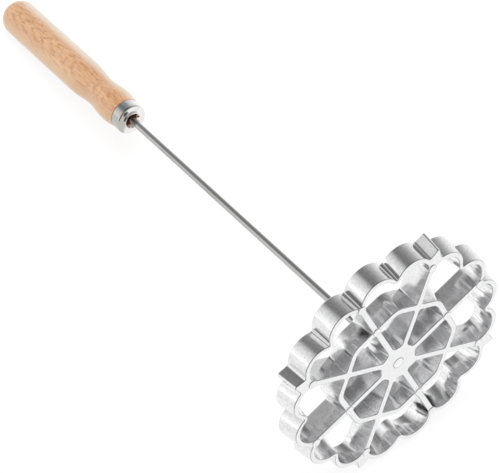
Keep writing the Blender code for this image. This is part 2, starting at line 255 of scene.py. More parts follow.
# %% From arrays to a piece
ON_AXIS = 1e-9


def grid_faces(index, closed_rows=False):
    """Quads between the rows of a grid of point numbers whose columns run in a loop."""
    if closed_rows:
        index = np.vstack([index, index[:1]])
    near, far = index[:-1], index[1:]
    quads = np.stack([near, np.roll(near, -1, 1), np.roll(far, -1, 1), far], -1)
    return quads.reshape(-1, 4)


def add_piece(name, points, normals, quads, triangles):
    """A mesh object from own-axes arrays, laid down in the frame, with set normals."""
    data = bpy.data.meshes.new(name)
    faces = quads.tolist() + triangles.tolist()
    data.from_pydata(lay_down(points), [], faces)
    data.polygons.foreach_set("use_smooth", np.ones(len(faces), bool))
    data.normals_split_custom_set_from_vertices(normals @ OWN_TO_ROW.T)
    data.update()
    piece = bpy.data.objects.new(name, data)
    bpy.context.scene.collection.objects.link(piece)
    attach(piece, "root")
    print(name, len(points), "points", 2 * len(quads) + len(triangles), "triangles")
    return piece


def mark(piece, name, values):
    """One number for every point of the mesh, which its finish can read by this name."""
    values = np.asarray(values, np.float32)
    piece.data.attributes.new(name, "FLOAT", "POINT").data.foreach_set("value", values)


def turned(profile, steps, closed=False):
    """Profile (radius, place) carried once round the axis.

    Point = (radius cos a, radius sin a, place). The normal is the profile's own direction
    turned a quarter, taken between a point's two neighbours, and carried round with it.
    """
    profile = np.asarray(profile, float)
    at_axis = profile[:, 0] < ON_AXIS
    if closed:
        along = np.roll(profile, -1, 0) - np.roll(profile, 1, 0)
    else:
        along = np.gradient(profile, axis=0)
        along[1:-1] = profile[2:] - profile[:-2]
        along[at_axis, 1] = 0.0
    along /= np.linalg.norm(along, axis=1, keepdims=True)
    angle = np.arange(steps) * 2.0 * np.pi / steps
    rows = len(profile)
    spin = np.stack([np.cos(angle), np.sin(angle)], -1)
    level = np.broadcast_to(profile[:, 1, None, None], (rows, steps, 1))
    points = np.concatenate([profile[:, 0, None, None] * spin, level], -1)
    lift = np.broadcast_to(-along[:, 0, None, None], (rows, steps, 1))
    normals = np.concatenate([along[:, 1, None, None] * spin, lift], -1)
    index = np.arange(rows * steps).reshape(rows, steps)
    index[at_axis] = index[at_axis][:, :1]
    faces = grid_faces(index, closed)
    start_pole = faces[:, 0] == faces[:, 1]
    end_pole = faces[:, 2] == faces[:, 3]
    triangles = np.vstack([faces[start_pole][:, [0, 2, 3]], faces[end_pole][:, [0, 1, 2]]])
    quads = faces[~(start_pole | end_pole)]
    used, place = np.unique(np.concatenate([quads.ravel(), triangles.ravel()]),
                            return_inverse=True)
    quads = place[:quads.size].reshape(-1, 4)
    triangles = place[quads.size:].reshape(-1, 3)
    return points.reshape(-1, 3)[used], normals.reshape(-1, 3)[used], quads, triangles


def joined(shapes):
    """Several shapes as one: arrays stacked, with each one's point numbers moved on."""
    starts = np.cumsum([0] + [len(shape[0]) for shape in shapes])
    points, normals = (np.vstack([shape[part] for shape in shapes]) for part in (0, 1))
    quads, triangles = (np.vstack([shape[part] + start for shape, start in zip(shapes, starts)])
                        for part in (2, 3))
    return points, normals, quads, triangles


# %% [markdown]
# The mould is one die casting: a flower-shaped rim, eight spokes, an eight-sided ring and
# a hub. It could be put together from a wall and bars, but the soft corners between them
# would be missing. Seen from the front it is a plate with sixteen openings, so its plan is
# worked out first, as closed outlines made of straight and round stretches.

# %% Sizes of the mould, on its front face
DEPTH = 11.45 * MM
SPOKES = 8
LOBES = 16
PITCH = 2.0 * math.pi / SPOKES
LOBE_PITCH = 2.0 * math.pi / LOBES
FIRST = PITCH / 2.0
LOBES_PER_FIN = 4
LOBE_RADIUS = 59.4 * MM
LOBE_BULGE_SHARE = 0.805
CELL_BULGE_SHARE = 0.622
FIN_RADIUS = 61.5 * MM
FIN_HALF_WIDTH = 3.7 * MM
FIN_TIP_HALF_WIDTH = 0.6 * MM
WALL = 2.6 * MM
SPOKE_HALF = 1.5 * MM
RING_HALF = 1.45 * MM
RING_APOTHEM = 30.7 * MM
RING_BEND = 7.5 * MM
HUB_RADIUS = 9.8 * MM

# Every side leans out from the front face to the back, so that the fried batter slips off
RIM_FLARE = 1.44 * MM
NOTCH_FLARE = 2.3 * MM
FIN_FLARE = 1.7 * MM
FIN_WIDENING = 0.8 * MM
WALL_DRAFT = 1.3 * MM
WEB_DRAFT = 1.9 * MM

# How far each soft corner reaches along its two sides
NOTCH_ROUND = 1.9 * MM
FIN_TIP_ROUND = 0.5 * MM
FIN_ROOT_ROUND = 1.3 * MM
WALL_ROUND = 2.4 * MM
WEB_ROUND = 1.1 * MM
HUB_ROUND_SHARE = 0.4

print("front face:", 2.0 * LOBE_RADIUS / MM, "mm across,", LOBES, "lobes,", SPOKES, "spokes")


# %% Stretches of an outline
def ray(angle):
    """Unit vector at an angle from +X."""
    return np.array([math.cos(angle), math.sin(angle)])


def quarter(vector):
    """The vector turned a quarter to the left."""
    return np.array([-vector[1], vector[0]])


def straight(start, end):
    """Points at shares of a line, and its length: start + (end - start) share."""
    return (lambda share: start + np.outer(share, end - start)), np.linalg.norm(end - start)


def bow(centre, radius, start, end, clockwise=False):
    """Points at shares of an arc, and its length: the angle grows evenly with the share."""
    first, last = (math.atan2(*(point - centre)[::-1]) for point in (start, end))
    turn = (last - first) % (2.0 * math.pi) - (2.0 * math.pi if clockwise else 0.0)

    def place(share):
        angle = first + turn * np.asarray(share)
        return centre + radius * np.stack([np.cos(angle), np.sin(angle)], -1)
    return place, abs(turn) * radius


CORNER_STEPS = 8


def outline(stretches):
    """Closed outline through stretches of (curve, steps, reach of the corner at its end).

    A corner is the parabola (1-t)^2 before + 2t(1-t) corner + t^2 after.
    """
    t = (np.arange(1, CORNER_STEPS) / CORNER_STEPS)[:, None]
    parts = []
    for number, ((place, length), steps, reach) in enumerate(stretches):
        first, last = stretches[number - 1][2] / length, 1.0 - reach / length
        count = steps + 1 if reach else steps
        parts.append(place(first + (last - first) * np.arange(count) / steps))
        if reach:
            (after, after_length), _, _ = stretches[(number + 1) % len(stretches)]
            bend = [parts[-1][-1:], place([1.0]), after([reach / after_length])]
            parts.append((1 - t) ** 2 * bend[0] + 2 * t * (1 - t) * bend[1] + t ** 2 * bend[2])
    return np.concatenate(parts)


# %% [markdown]
# A lobe is an arc through two notches and its own top. One lobe could be copied round the
# axis, but four of the notches carry a blunt fin, so a loop goes round all sixteen lobes.
# The openings follow the lobes from inside, one wall thinner, and the notch between two
# lobes becomes a bump there.

# %% Plan of the rim
LOBE_STEPS = 26
FIN_STEPS = 5


def notch_radius(bulge_share):
    """Where two lobes meet: crown = notch cos + share x notch sin, at half a lobe's pitch."""
    half = LOBE_PITCH / 2.0
    return LOBE_RADIUS / (math.cos(half) + bulge_share * math.sin(half))


def lobe(number, notch, crown):
    """Centre, radius and two ends of a lobe: radius = (chord^2 + bulge^2) / (2 bulge)."""
    start, end = (notch * ray(FIRST + (number + side) * LOBE_PITCH) for side in (0, 1))
    middle = (start + end) / 2.0
    chord = np.linalg.norm(end - start) / 2.0
    reach = np.linalg.norm(middle)
    bulge = crown - reach
    radius = (chord ** 2 + bulge ** 2) / (2.0 * bulge)
    return middle + middle / reach * (bulge - radius), radius, start, end


def on_side(centre, radius, along, across, offset):
    """Where a circle meets the line at an offset across from a spoke's middle."""
    gap = offset - centre @ across
    return across * offset + along * (centre @ along + math.sqrt(radius ** 2 - gap ** 2))


def rim_plan(share):
    """Outside of the rim at a share of the depth: each size grows evenly with the share."""
    notch = notch_radius(LOBE_BULGE_SHARE) + NOTCH_FLARE * share
    crown = LOBE_RADIUS + RIM_FLARE * share
    fin = FIN_RADIUS + FIN_FLARE * share
    half = FIN_HALF_WIDTH + FIN_WIDENING * share
    stretches = []
    for number in range(LOBES):
        centre, radius, start, end = lobe(number, notch, crown)
        if number % LOBES_PER_FIN == 0:
            along = ray(FIRST + number * LOBE_PITCH)
            start = on_side(centre, radius, along, quarter(along), half)
            tip, width = fin * along, FIN_TIP_HALF_WIDTH * quarter(along)
            stretches.append((straight(tip - width, tip + width), 1, FIN_TIP_ROUND))
            stretches.append((straight(tip + width, start), FIN_STEPS, FIN_ROOT_ROUND))
        if number % LOBES_PER_FIN == LOBES_PER_FIN - 1:
            along = ray(FIRST + (number + 1) * LOBE_PITCH)
            end = on_side(centre, radius, along, -quarter(along), half)
            tip = fin * along - FIN_TIP_HALF_WIDTH * quarter(along)
            stretches.append((bow(centre, radius, start, end), LOBE_STEPS, FIN_ROOT_ROUND))
            stretches.append((straight(end, tip), FIN_STEPS, FIN_TIP_ROUND))
        else:
            stretches.append((bow(centre, radius, start, end), LOBE_STEPS, NOTCH_ROUND))
    return outline(stretches)


print("rim outline:", len(rim_plan(0.0)), "points")


# %% Plans of the openings
SPOKE_STEPS = 8
RING_STEPS = 6
BUMP_STEPS = 12
HUB_STEPS = 4


def two_spokes(spoke):
    """Along and inward-across vectors of the spokes on both sides of an opening."""
    first, second = ray(FIRST + spoke * PITCH), ray(FIRST + (spoke + 1) * PITCH)
    return first, quarter(first), second, -quarter(second)


def ring_corner(spoke, apothem):
    """Corner of the ring's side, midway between two spokes."""
    return apothem / math.cos(PITCH / 2.0) * ray(FIRST + (spoke + 0.5) * PITCH)


def outer_plan(spoke, share):
    """Opening between ring and rim at a share of the depth."""
    wall = WALL + WALL_DRAFT * share
    half = SPOKE_HALF + WEB_DRAFT * share
    apothem = RING_APOTHEM + RING_HALF + WEB_DRAFT * share
    bend = (RING_BEND + RING_HALF) * math.tan(PITCH / 2.0)
    along_a, across_a, along_b, across_b = two_spokes(spoke)
    meet = notch_radius(CELL_BULGE_SHARE)
    centre_a, radius_a, _, notch = lobe(2 * spoke, meet, LOBE_RADIUS)
    centre_b, radius_b, _, _ = lobe(2 * spoke + 1, meet, LOBE_RADIUS)
    inside_a, inside_b = radius_a - wall, radius_b - wall
    rim_a = on_side(centre_a, inside_a, along_a, across_a, half)
    rim_b = on_side(centre_b, inside_b, along_b, across_b, half)
    bump_a, bump_b = (centre + (notch - centre) * (radius - wall) / radius
                      for centre, radius in ((centre_a, radius_a), (centre_b, radius_b)))
    foot_a = along_a * apothem + across_a * half
    foot_b = along_b * apothem + across_b * half
    corner = ring_corner(spoke, apothem)
    return outline([
        (straight(foot_b, rim_b), SPOKE_STEPS, WALL_ROUND),
        (bow(centre_b, inside_b, rim_b, bump_b, clockwise=True), LOBE_STEPS, 0.0),
        (bow(notch, wall, bump_b, bump_a), BUMP_STEPS, 0.0),
        (bow(centre_a, inside_a, bump_a, rim_a, clockwise=True), LOBE_STEPS, WALL_ROUND),
        (straight(rim_a, foot_a), SPOKE_STEPS, WEB_ROUND),
        (straight(foot_a, corner), RING_STEPS, bend),
        (straight(corner, foot_b), RING_STEPS, WEB_ROUND),
    ])


def inner_plan(spoke, share):
    """Opening between hub and ring at a share of the depth."""
    half = SPOKE_HALF + WEB_DRAFT * share
    apothem = RING_APOTHEM - RING_HALF - WEB_DRAFT * share
    hub = HUB_RADIUS + WEB_DRAFT * share
    bend = (RING_BEND - RING_HALF) * math.tan(PITCH / 2.0)
    along_a, across_a, along_b, across_b = two_spokes(spoke)
    reach = math.sqrt(hub ** 2 - half ** 2)
    hub_a = along_a * reach + across_a * half
    hub_b = along_b * reach + across_b * half
    foot_a = along_a * apothem + across_a * half
    foot_b = along_b * apothem + across_b * half
    corner = ring_corner(spoke, apothem)
    hub_side = bow(np.zeros(2), hub, hub_a, hub_b)
    hub_round = HUB_ROUND_SHARE * hub_side[1]
    return outline([
        (straight(hub_b, foot_b), SPOKE_STEPS, WEB_ROUND),
        (straight(foot_b, corner), RING_STEPS, bend),
        (straight(corner, foot_a), RING_STEPS, WEB_ROUND),
        (straight(foot_a, hub_a), SPOKE_STEPS, hub_round),
        (hub_side, HUB_STEPS, hub_round),
    ])


print("opening outlines:", len(outer_plan(0, 0.0)), "and", len(inner_plan(0, 0.0)), "points")

# %% [markdown]
# Each outline becomes a side of the casting: a grid whose columns are the outline's points
# and whose rows go round the front edge, down the leaning wall and round the back edge.
# Extruding the plan would give upright walls, and a casting's walls lean, to leave the die.
# The two flat faces have no simple grid, so each one is filled with triangles from the
# points at the ends of the sides.

# %% Sides of the casting
EDGE_ROUND = 0.55 * MM
EDGE_STEPS = 5
WALL_ROWS = 6


def leaning_side(front, back, edge_round=EDGE_ROUND):
    """A side between two outlines with the same number of points.

    Row angle p runs from -90 deg (front face) through -lean (wall) to 90 deg (back face).
    Offset = z tan(lean) on the wall, and centre + radius cos p on the edges. Point =
    outline at depth z + outward normal x (offset - z tan(lean)). Normal = outward cos p
    + axis sin p.
    """
    along = np.roll(front, -1, 0) - np.roll(front, 1, 0)
    along /= np.linalg.norm(along, axis=1, keepdims=True)
    out = np.stack([along[:, 1], -along[:, 0]], -1)
    slant = np.sum((back - front) * out, 1) / DEPTH
    lean = np.arctan(slant)
    share = np.arange(EDGE_STEPS + 1)[:, None] / EDGE_STEPS
    front_angle = -np.pi / 2.0 + share * (np.pi / 2.0 - lean)
    back_angle = -lean + share * (np.pi / 2.0 + lean)
    centre = -edge_round / np.cos(lean)
    near_z = edge_round + edge_round * np.sin(front_angle)
    far_z = DEPTH - edge_round + edge_round * np.sin(back_angle)
    near_off = edge_round * slant + centre + edge_round * np.cos(front_angle)
    far_off = (DEPTH - edge_round) * slant + centre + edge_round * np.cos(back_angle)
    down = (np.arange(1, WALL_ROWS) / WALL_ROWS)[:, None]
    wall_z = near_z[-1] + down * (far_z[0] - near_z[-1])
    z = np.vstack([near_z, wall_z, far_z])
    offset = np.vstack([near_off, wall_z * slant, far_off])
    angle = np.vstack([front_angle, np.broadcast_to(-lean, wall_z.shape), back_angle])
    plan = front + (back - front) * (z / DEPTH)[..., None]
    plan = plan + out * (offset - z * slant)[..., None]
    points = np.concatenate([plan, z[..., None]], -1)
    normals = np.concatenate([out * np.cos(angle)[..., None], np.sin(angle)[..., None]], -1)
    return points, normals


def flat_fill(outlines):
    """Triangles between closed outlines, as numbers of their stacked points."""
    mesh = bmesh.new()
    edges = []
    for points in outlines:
        ring = [mesh.verts.new((x, y, 0.0)) for x, y in points]
        edges += [mesh.edges.new((ring[place - 1], ring[place])) for place in range(len(ring))]
    mesh.verts.index_update()
    bmesh.ops.triangle_fill(mesh, use_beauty=True, use_dissolve=False, edges=edges)
    found = np.array([[vert.index for vert in face.verts] for face in mesh.faces])
    mesh.free()
    flat = np.concatenate(outlines)
    a, b, c = (flat[found[:, corner]] for corner in range(3))
    turn = (b - a)[:, 0] * (c - a)[:, 1] - (b - a)[:, 1] * (c - a)[:, 0]
    found[turn < 0.0] = found[turn < 0.0][:, ::-1]
    return found


# %% [markdown]
# The ejector pins of the die leave round pads that stand a little proud: one on every
# second crossing of spoke and ring, and one where each spoke meets the rim. A bump in the
# finish could hint at them, but their edges catch the light, so each is a low turned disc.
# The rod's end is seated in the hub, in a hole whose edge is finer than the casting's
# others. An attribute marks the sides inside the openings for the finish.

# %% Mould
SEAT_RADIUS = 2.85 * MM
SEAT_EDGE = 0.2 * MM
PAD_RADIUS = 2.25 * MM
PAD_RISE = 0.40 * MM
PAD_EDGE = 0.38 * MM
PAD_SINK = 0.1 * MM
RIM_PAD_PLACE = 51.6 * MM
SEAT_STEPS = 64
PAD_STEPS = 40
PAD_EDGE_POINTS = 5

sides = [leaning_side(rim_plan(0.0), rim_plan(1.0))]
for spoke in range(SPOKES):
    for plan in (outer_plan, inner_plan):
        sides.append(leaning_side(plan(spoke, 0.0), plan(spoke, 1.0)))
turn = -np.arange(SEAT_STEPS) * 2.0 * np.pi / SEAT_STEPS
seat = SEAT_RADIUS * np.stack([np.cos(turn), np.sin(turn)], -1)
sides.append(leaning_side(seat, seat, SEAT_EDGE))

shapes, front_rings, back_rings = [], [], []
start = 0
for points, normals in sides:
    rows, columns = points.shape[:2]
    index = np.arange(rows * columns).reshape(rows, columns)
    shapes.append((points.reshape(-1, 3), normals.reshape(-1, 3), grid_faces(index),
                   np.empty((0, 3), int)))
    front_rings.append(start + index[0])
    back_rings.append(start + index[-1])
    start += rows * columns
points, normals, quads, triangles = joined(shapes)
front_face = flat_fill([points[ring, :2] for ring in front_rings])
back_face = flat_fill([points[ring, :2] for ring in back_rings])
triangles = np.vstack([np.concatenate(front_rings)[front_face][:, ::-1],
                       np.concatenate(back_rings)[back_face]])


def pad(x, y):
    """A low disc on the front face with a rounded edge, sunk a little into the metal."""
    bend = np.linspace(0.0, np.pi / 2.0, PAD_EDGE_POINTS)
    edge = np.stack([PAD_RADIUS - PAD_EDGE + PAD_EDGE * np.sin(bend),
                     -PAD_RISE + PAD_EDGE - PAD_EDGE * np.cos(bend)], -1)
    foot = [(PAD_RADIUS, PAD_SINK), (0.0, PAD_SINK)]
    profile = np.vstack([[(0.0, -PAD_RISE)], edge, foot])
    points, normals, quads, triangles = turned(profile, PAD_STEPS)
    return points + (x, y, 0.0), normals, quads, triangles


pads = [pad(*(RING_APOTHEM * ray(FIRST + spoke * PITCH))) for spoke in range(1, SPOKES, 2)]
pads += [pad(*(RIM_PAD_PLACE * ray(FIRST + spoke * PITCH))) for spoke in range(SPOKES)]
mould = add_piece("flower_mould", *joined([(points, normals, quads, triangles)] + pads))
cell_side = np.zeros(len(mould.data.vertices))
cell_side[sides[0][0][..., 0].size:start] = 1.0
mark(mould, "cell_side", cell_side)
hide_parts("mould")

# %% [markdown]
# The rod is drawn steel wire. Its front end is peened over in the hub, a collar backs the
# hub from behind, and a pointed tang is driven into the handle. It could be a stack of
# cylinders, but one profile carried round the axis keeps it one closed skin, and gives
# every shoulder its own small round.

# %% Profiles with soft corners
STRAIGHT_ENOUGH = 0.01
ROUND_STEPS = 6


def softened(corners):
    """Open profile through (radius, place, round) corners: each one becomes an arc.

    The arc's reach along both sides is round x tan(half the turn), and it is drawn as a
    quadratic with the circle's weight cos(half the turn).
    """
    corners = np.asarray(corners, float)
    made = [corners[:1, :2]]
    for before, here, after in zip(corners, corners[1:], corners[2:]):
        to_before, to_after = before[:2] - here[:2], after[:2] - here[:2]
        to_before = to_before / np.linalg.norm(to_before)
        to_after = to_after / np.linalg.norm(to_after)
        half_turn = (math.pi - math.acos(np.clip(to_before @ to_after, -1.0, 1.0))) / 2.0
        if here[2] <= 0.0 or half_turn < STRAIGHT_ENOUGH:
            made.append(here[None, :2])
            continue
        reach = here[2] * math.tan(half_turn)
        t = np.linspace(0.0, 1.0, ROUND_STEPS + 1)[:, None]
        weight = [(1 - t) ** 2, 2 * t * (1 - t) * math.cos(half_turn), t ** 2]
        ends = [here[:2] + to_before * reach, here[:2], here[:2] + to_after * reach]
        made.append(sum(w * p for w, p in zip(weight, ends)) / sum(weight))
    made.append(corners[-1:, :2])
    return np.vstack(made)


# %% Rod
ROD_RADIUS = 1.75 * MM
ROD_STEPS = 64
CLEARANCE = 0.3 * MM
HEAD_RADIUS = 2.75 * MM
HEAD_RISE = 0.22 * MM
HEAD_SHOULDER_SHARE = 0.8
HEAD_END = 0.9 * MM
HEAD_ROUND = 0.3 * MM
COLLAR_RADIUS = 3.2 * MM
COLLAR_START = DEPTH + CLEARANCE
COLLAR_END = COLLAR_START + 1.5 * MM
COLLAR_FRONT_ROUND = 0.15 * MM
COLLAR_REAR_ROUND = 0.4 * MM
INNER_ROUND = 0.05 * MM
FINE_ROUND = 0.1 * MM
TANG_END = 275.0 * MM
POINT_LENGTH = 6.0 * MM
POINT_ROUND = 2.0 * MM

rod_profile = softened([
    (0.0, -HEAD_RISE, 0.0),
    (HEAD_RADIUS, -HEAD_RISE * HEAD_SHOULDER_SHARE, HEAD_ROUND),
    (HEAD_RADIUS, HEAD_END, FINE_ROUND),
    (ROD_RADIUS, HEAD_END, INNER_ROUND),
    (ROD_RADIUS, COLLAR_START, INNER_ROUND),
    (COLLAR_RADIUS, COLLAR_START, COLLAR_FRONT_ROUND),
    (COLLAR_RADIUS, COLLAR_END, COLLAR_REAR_ROUND),
    (ROD_RADIUS, COLLAR_END, FINE_ROUND),
    (ROD_RADIUS, TANG_END - POINT_LENGTH, POINT_ROUND),
    (0.0, TANG_END, 0.0),
])
rod = add_piece("rod_wire", *turned(rod_profile, ROD_STEPS))
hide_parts("rod")

# %% [markdown]
# The ferrule is a shallow cup pressed from thin steel. It keeps the neck of the handle from
# splitting when the tang is driven in. Its hole is dimpled: a low lip stands round it, and a
# funnel leads inwards. Solidify could thicken one skin, but it would leave sharp cut edges,
# so the profile is closed: outside, round the rolled edge, over the lip, down the funnel
# and back along the inside.

# %% Ferrule
FERRULE_FACE = 216.2 * MM
FERRULE_REAR = 222.5 * MM
FERRULE_RADIUS = 8.5 * MM
FERRULE_WALL = 0.5 * MM
LIP_FOOT = 5.7 * MM
LIP_RADIUS = 4.75 * MM
LIP_RISE = 0.9 * MM
FUNNEL_RADIUS = 4.35 * MM
HOLE_RADIUS = 3.0 * MM
HOLE_WALL = 0.35 * MM
FUNNEL_END = FERRULE_FACE + 1.2 * MM
TURN_STEPS = 128

# Rounds of the cup's bends, outside and inside, of the lip and of the sheet's cut edges
BEND_ROUND = 1.1 * MM
INNER_BEND_ROUND = 0.8 * MM
LIP_ROUND = 0.3 * MM
SHEET_ROUND = 0.15 * MM
REAR_ROUND = 0.2 * MM

inner_face, inside = FERRULE_FACE + FERRULE_WALL, FERRULE_RADIUS - FERRULE_WALL
halfway, start_gap = (FERRULE_FACE + FERRULE_REAR) / 2.0, 0.1 * MM
ferrule_profile = softened([
    (FERRULE_RADIUS, halfway, 0.0),
    (FERRULE_RADIUS, FERRULE_FACE, BEND_ROUND),
    (LIP_FOOT, FERRULE_FACE, INNER_BEND_ROUND),
    (LIP_RADIUS, FERRULE_FACE - LIP_RISE, LIP_ROUND),
    (FUNNEL_RADIUS, FERRULE_FACE - LIP_RISE, SHEET_ROUND),
    (HOLE_RADIUS, FUNNEL_END, SHEET_ROUND),
    (HOLE_RADIUS + HOLE_WALL, FUNNEL_END, SHEET_ROUND),
    (LIP_RADIUS, FERRULE_FACE - LIP_RISE / 3.0, LIP_ROUND),
    (LIP_FOOT, inner_face, LIP_ROUND),
    (inside, inner_face, INNER_BEND_ROUND),
    (inside, FERRULE_REAR, FINE_ROUND),
    (FERRULE_RADIUS, FERRULE_REAR, REAR_ROUND),
    (FERRULE_RADIUS, halfway + start_gap, 0.0),
])[::-1]
ferrule = add_piece("ferrule_cup", *turned(ferrule_profile, TURN_STEPS, closed=True))
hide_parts("ferrule")

# %% [markdown]
# The handle is turned from beech: a bead behind the ferrule, a waist for finger and thumb,
# a full grip and a rounded butt. A drawn curve with a Screw modifier would give it too, but
# here every radius has its name. Between the named places the radius eases from one to the
# next along a cosine.

# %% Handle
NECK_FACE = 217.0 * MM
NECK_RADIUS = 7.7 * MM
NECK_ROUND = 0.8 * MM
SHOULDER = 222.8 * MM
SHOULDER_RISE = 0.4 * MM
SHOULDER_ROUND = 0.3 * MM
SHOULDER_RADIUS = 8.6 * MM
BEAD = 232.0 * MM
BEAD_RADIUS = 9.65 * MM
WAIST = 245.5 * MM
WAIST_RADIUS = 8.5 * MM
GRIP = 262.0 * MM
GRIP_RADIUS = 9.9 * MM
BUTT = 333.1 * MM
BUTT_FLAT = 5.5 * MM
BUTT_ROUND = 7.1 * MM
BORE_RADIUS = 2.05 * MM
BORE_END = TANG_END + CLEARANCE
MOUTH_RADIUS = 4.0 * MM
MOUTH_ROUND = 0.2 * MM
MOUTH_END = NECK_FACE + 5.0 * MM
BORE_START = NECK_FACE + 6.0 * MM
SWELL_STEPS = 24


def swell(start, end, easing):
    """Radius = start + (end - start) x eased share, from one (radius, place) to another."""
    share = np.arange(SWELL_STEPS + 1) / SWELL_STEPS
    return np.stack([start[0] + (end[0] - start[0]) * easing(share),
                     start[1] + (end[1] - start[1]) * share], -1)


def level_ends(share):
    """Eased share = (1 - cos(pi share)) / 2, level at both ends."""
    return (1.0 - np.cos(np.pi * share)) / 2.0


def level_start(share):
    """Eased share = 1 - cos(pi share / 2), level at the start."""
    return 1.0 - np.cos(np.pi / 2.0 * share)


bend = np.linspace(np.pi / 2.0, 0.0, SWELL_STEPS)
butt = np.stack([BUTT_FLAT + (GRIP_RADIUS - BUTT_FLAT) * np.cos(bend),
                 BUTT - BUTT_ROUND + BUTT_ROUND * np.sin(bend)], -1)
neck = softened([
    (SHOULDER_RADIUS, SHOULDER + SHOULDER_RISE, 0.0),
    (SHOULDER_RADIUS, SHOULDER, SHOULDER_ROUND),
    (NECK_RADIUS, SHOULDER, FINE_ROUND),
    (NECK_RADIUS, NECK_FACE, NECK_ROUND),
    (MOUTH_RADIUS, NECK_FACE, MOUTH_ROUND),
    (MOUTH_RADIUS, MOUTH_END, 0.0),
    (BORE_RADIUS, BORE_START, 0.0),
    (BORE_RADIUS, BORE_END, 0.0),
    (0.0, BORE_END, 0.0),
])
handle_profile = np.vstack([
    [(0.0, BUTT)],
    butt,
    swell((GRIP_RADIUS, BUTT - BUTT_ROUND), (GRIP_RADIUS, GRIP), level_ends)[1:],
    swell((GRIP_RADIUS, GRIP), (WAIST_RADIUS, WAIST), level_ends)[1:],
    swell((WAIST_RADIUS, WAIST), (BEAD_RADIUS, BEAD), level_ends)[1:],
    swell((BEAD_RADIUS, BEAD), (SHOULDER_RADIUS, SHOULDER + SHOULDER_RISE), level_start)[1:],
    neck[1:],
])[::-1]
handle = add_piece("beech_handle", *turned(handle_profile, TURN_STEPS))
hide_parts("handle")

# %% [markdown]
# Finishes read the object's own coordinates, turned back to the iron's axes by a Mapping
# node, so that a streak or a fibre can run along the axis. Painted pictures would have to
# be wrapped round each piece, and noise in space goes right through it. A pattern is
# stretched by multiplying those coordinates by its scale, per metre, in each direction.

# %% Coordinates and patterns for the finishes
def new_finish(name, inputs):
    """A material with one principled shader. Returns it, its tree and the shader."""
    made = bpy.data.materials.new(name)
    made.use_nodes = True
    shader = made.node_tree.nodes["Principled BSDF"]
    for socket, value in inputs.items():
        shader.inputs[socket].default_value = value
    return made, made.node_tree, shader


def own_place(tree):
    """Object coordinates turned back to the iron's own axes: +Z runs to the butt."""
    place = node(tree, "TexCoord").outputs["Object"]
    moved = node(tree, "VectorMath", {0: place, 1: FACE_CENTRE.tolist()}, operation="SUBTRACT")
    turned_back = node(tree, "Mapping", {"Vector": moved.outputs[0], "Rotation": OWN_TURN})
    return turned_back.outputs[0]


# Nearly all the values of a noise pattern lie between these
MOST_NOISE = (0.3, 0.7)


def noise(tree, place, scale, detail=2.0, roughness=0.5, distortion=0.0):
    """Cloudy pattern from 0 to 1 with its own scale per metre in x, y and z."""
    stretched = node(tree, "VectorMath", {0: place, 1: scale}, operation="MULTIPLY")
    made = node(tree, "TexNoise", {"Vector": stretched.outputs[0], "Scale": 1.0,
                                   "Detail": detail, "Roughness": roughness,
                                   "Distortion": distortion})
    return made.outputs["Fac"]


MIX_FACTOR, MIX_FIRST, MIX_SECOND, MIX_RESULT = 0, 6, 7, 2


def blend(tree, factor, first, second):
    """Colour mixed from the first to the second. A Mix node's colour sockets go by number."""
    made = node(tree, "Mix", {MIX_FACTOR: factor}, data_type="RGBA")
    for number, value in ((MIX_FIRST, first), (MIX_SECOND, second)):
        if isinstance(value, bpy.types.NodeSocket):
            tree.links.new(value, made.inputs[number])
        else:
            made.inputs[number].default_value = value
    return made.outputs[MIX_RESULT]


def relief(tree, shader, height, depth, before=None):
    """Bump of a given depth in metres on the shader's normal, over one made before."""
    inputs = {"Height": height, "Distance": depth, "Strength": 1.0}
    if before is not None:
        inputs["Normal"] = before
    made = node(tree, "Bump", inputs)
    tree.links.new(made.outputs["Normal"], shader.inputs["Normal"])
    return made.outputs["Normal"]


# %% [markdown]
# The mould is die-cast aluminium, tumbled bright. Its sides are mottled and mirror the room
# softly, the outer ones more softly than those inside the openings. The front face was
# rubbed flat, which leaves it more matt. Its rounded edges are painted dark grey: painted
# shade for the dark part of the room that those edges mirror. Face, edges and sides could
# be three materials, but the change between them is soft, so they are one, mixed by how far
# the surface faces along the axis.

# %% Cast aluminium
FACE_COLOUR = (0.90, 0.90, 0.905, 1.0)
DULL_FACE_COLOUR = (0.83, 0.83, 0.835, 1.0)
SIDE_COLOUR = (0.86, 0.86, 0.865, 1.0)
CELL_COLOUR = (0.92, 0.92, 0.925, 1.0)
DULL_SIDE_COLOUR = (0.76, 0.76, 0.765, 1.0)
DULL_CELL_COLOUR = (0.81, 0.81, 0.815, 1.0)
# Painted shade: the dark grey given to the rounded edges
PAINTED_EDGE_SHADE_COLOUR = (0.58, 0.58, 0.585, 1.0)
WALL_ROUGHNESS = 0.16
CELL_ROUGHNESS = 0.13
MOTTLE_ROUGHENS = (-0.03, 0.05)
FACE_ROUGHNESS = (0.25, 0.35)
CLOUD_DEPTH = 0.01 * MM
MOTTLE_DEPTH = 0.008 * MM
SPECKLE_DEPTH = 0.005 * MM

# Patterns: scale per metre in x, y and z, and detail
CLOUDS = ((70.0, 70.0, 70.0), 4.0)
MOTTLE = ((450.0, 450.0, 300.0), 3.0)
GRAINS = ((5000.0, 5000.0, 5000.0), 2.0)
SPECKLE = ((1000.0, 1000.0, 800.0), 3.0)

# Where face and edge begin and are full: 1 faces along the axis, and 0 faces away from it
FLAT = (0.90, 0.99)
EDGE_FROM_WALL = (0.25, 0.45)
EDGE_FROM_FACE = (0.97, 0.90)

# Where a pattern begins to dull the metal and where it is full, and its share there
DULLED_BY_CLOUDS = (0.45, 0.75, 0.0, 0.5)
DULLED_BY_MOTTLE = (0.45, 0.75, 0.0, 0.6)
DULLED_BY_SPECKLE = (0.42, 0.66, 0.0, 1.0)
FACE_DULLED_BY_SPECKLE = (0.38, 0.62, 0.0, 1.0)

